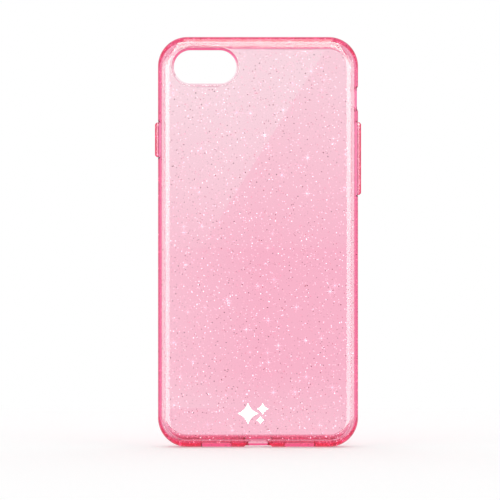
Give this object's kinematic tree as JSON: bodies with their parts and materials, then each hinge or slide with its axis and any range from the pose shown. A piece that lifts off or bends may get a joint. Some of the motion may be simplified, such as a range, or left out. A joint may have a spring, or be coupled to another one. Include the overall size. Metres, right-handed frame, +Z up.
{
  "type": "phone case",
  "caption": "Translucent pink glitter phone case: a clear hard back and a soft bumper frame with pressable side button covers, a camera window and openings for charging and sound.",
  "frame": {"origin": "middle of the inner back face, where the back of the phone seats", "axes": "+Z runs up the case's length towards the camera window's end, +X to the right when the back is seen, +Y from the back through to the open screen side"},
  "size_m": [0.072, 0.0101, 0.143],
  "materials": {
    "panel_resin": "gloss, translucent, with glitter in it",
    "bumper_resin": "gloss, translucent, flexible, with glitter in it",
    "web_resin": "gloss, translucent, thin and flexible",
    "white_ink": "matte white ink"
  },
  "bodies": {
    "case": {"back_panel": "panel_resin", "bumper_frame": "bumper_resin", "camera_ring": "bumper_resin", "side_button_web": "web_resin", "volume_button_web": "web_resin", "print_sparkle_1": "white_ink", "print_sparkle_2": "white_ink", "print_sparkle_3": "white_ink"},
    "side_button": {"side_button_cap": "bumper_resin"},
    "volume_button": {"volume_button_cap": "bumper_resin"}
  },
  "joints": [
    {"name": "side_button_press", "type": "slide", "parent": "case", "child": "side_button", "axis": [1, 0, 0], "range_m": [0, 0.0004], "stiffness_N_per_m": 3000},
    {"name": "volume_button_rock", "type": "hinge", "parent": "case", "child": "volume_button", "pos_m": [0.0352, 0.00365, 0.0291], "axis": [0, 1, 0], "range_deg": [-1.7, 1.7], "stiffness_Nm_per_rad": 0.5}
  ]
}
